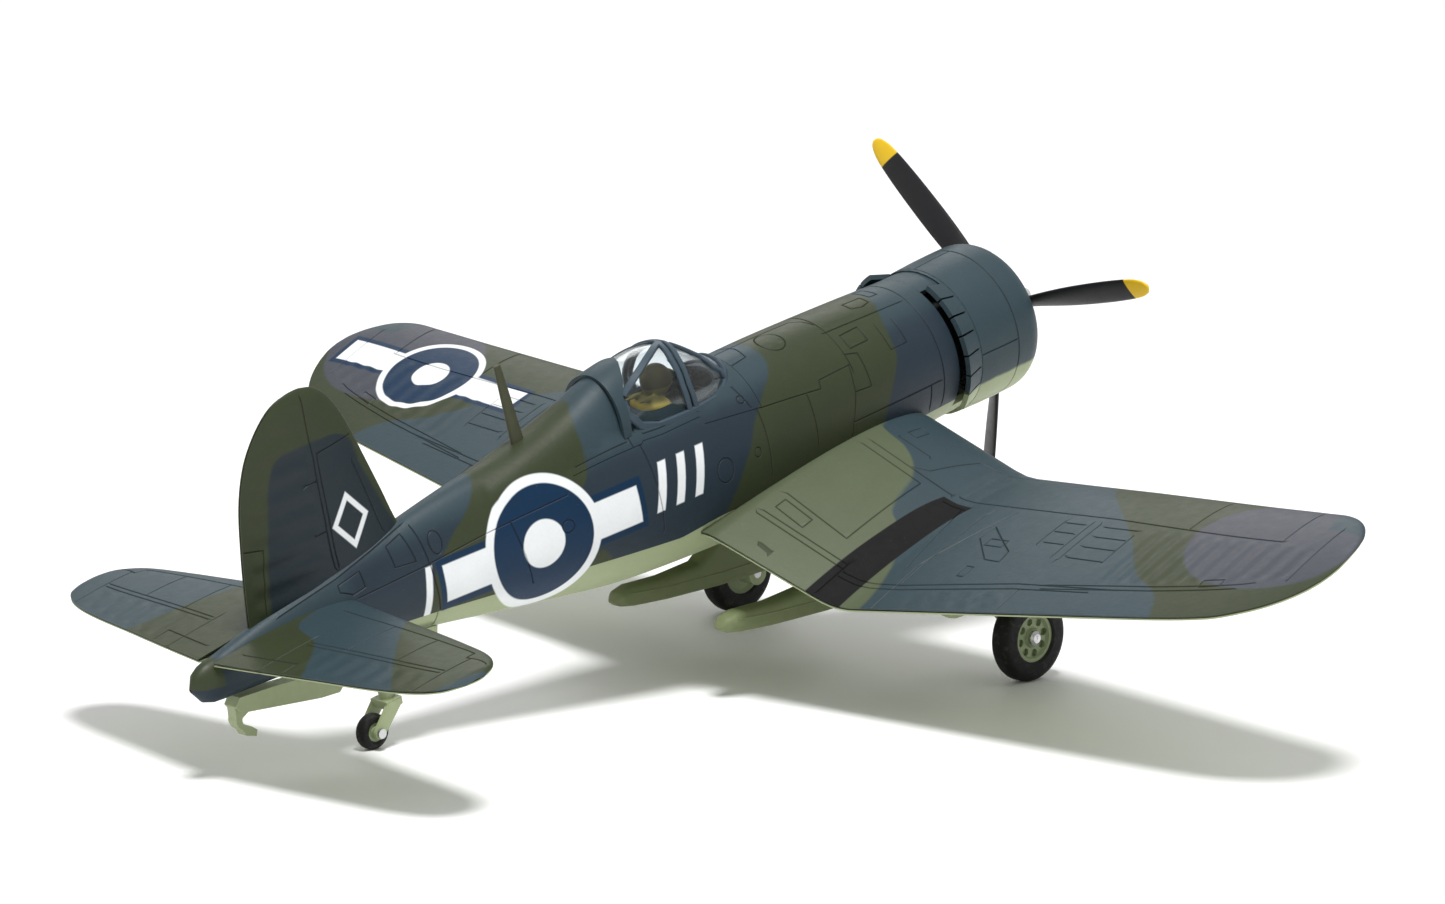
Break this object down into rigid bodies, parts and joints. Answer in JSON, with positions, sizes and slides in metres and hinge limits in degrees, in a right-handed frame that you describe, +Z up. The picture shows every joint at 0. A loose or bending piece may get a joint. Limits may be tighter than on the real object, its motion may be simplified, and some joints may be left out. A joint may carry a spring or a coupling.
{
  "type": "display model aircraft",
  "caption": "Die-cast display model of a gull-winged piston fighter on its wheels, with a turning propeller and rolling main and tail wheels.",
  "frame": {"origin": "centre of the model's footprint, on the surface its wheels stand on", "axes": "+X to port along the wing span, -Y toward the propeller, +Z up; the model stands tail-down"},
  "size_m": [0.1816, 0.1402, 0.0613],
  "materials": {
    "upper_paint": "satin-matte camouflage paint on a die casting",
    "wing_paint": "satin-matte camouflage paint on a die casting, pale green beneath",
    "tail_paint": "satin-matte camouflage paint on a die casting",
    "clear_plastic": "polished clear moulding",
    "frame_paint": "blue-grey paint on moulded frames",
    "cockpit_plastic": "matte dark green moulding",
    "pilot_paint": "matte hand-painted moulding",
    "dark_plastic": "matte black moulding",
    "mast_plastic": "matte dark olive moulding",
    "cowl_paint": "satin-matte blue-grey paint",
    "engine_grey": "metallic grey moulding",
    "blade_plastic": "matte black moulding with yellow tips",
    "hub_paint": "pale grey paint",
    "steel": "bright riveted pins and screws",
    "gear_green": "pale green moulding",
    "tyre_rubber": "matte black rubber",
    "wheel_green": "pale grey-green moulding"
  },
  "bodies": {
    "airframe": {"upper_fuselage": "upper_paint", "wing_and_belly": "wing_paint", "fin_and_rudder": "tail_paint", "tailplane_starboard": "tail_paint", "tailplane_port": "tail_paint", "cockpit_deck": "upper_paint", "canopy_glass": "clear_plastic", "canopy_frame": "frame_paint", "cockpit_tub": "cockpit_plastic", "pilot_seat": "cockpit_plastic", "pilot_figure": "pilot_paint", "instrument_panel": "dark_plastic", "control_stick": "dark_plastic", "gunsight": "dark_plastic", "antenna_mast": "mast_plastic", "cowling": "cowl_paint", "cowl_flaps": "cowl_paint", "engine_bulkhead": "dark_plastic", "crankcase": "engine_grey", "front_cylinders": "engine_grey", "rear_cylinders": "engine_grey", "main_leg_starboard": "gear_green", "main_leg_port": "gear_green", "gear_doors_starboard": "gear_green", "gear_doors_port": "gear_green", "axle_pin_starboard": "steel", "axle_pin_port": "steel", "tail_leg": "gear_green", "tail_axle_pin": "steel", "tail_doors": "gear_green", "arrestor_hook": "gear_green", "pylon_starboard": "gear_green", "pylon_port": "gear_green", "stand_socket": "gear_green", "belly_screws": "steel"},
    "propeller": {"prop_blades": "blade_plastic", "prop_hub": "hub_paint", "prop_pin": "steel"},
    "wheel_starboard": {"tyre_starboard": "tyre_rubber", "wheel_hub_starboard": "wheel_green"},
    "wheel_port": {"tyre_port": "tyre_rubber", "wheel_hub_port": "wheel_green"},
    "tail_wheel": {"tail_tyre": "tyre_rubber", "tail_wheel_hub": "wheel_green"}
  },
  "joints": [
    {"name": "prop_spin", "type": "hinge", "parent": "airframe", "child": "propeller", "pos_m": [0, -0.06402, 0.04144], "axis": [0, 0.9746, -0.224], "continuous": true},
    {"name": "wheel_starboard_spin", "type": "hinge", "parent": "airframe", "child": "wheel_starboard", "pos_m": [-0.0264, -0.04267, 0.0056], "axis": [1, 0, 0], "continuous": true},
    {"name": "wheel_port_spin", "type": "hinge", "parent": "airframe", "child": "wheel_port", "pos_m": [0.0264, -0.04267, 0.0056], "axis": [1, 0, 0], "continuous": true},
    {"name": "tail_wheel_spin", "type": "hinge", "parent": "airframe", "child": "tail_wheel", "pos_m": [0, 0.04214, 0.0022], "axis": [1, 0, 0], "continuous": true}
  ]
}
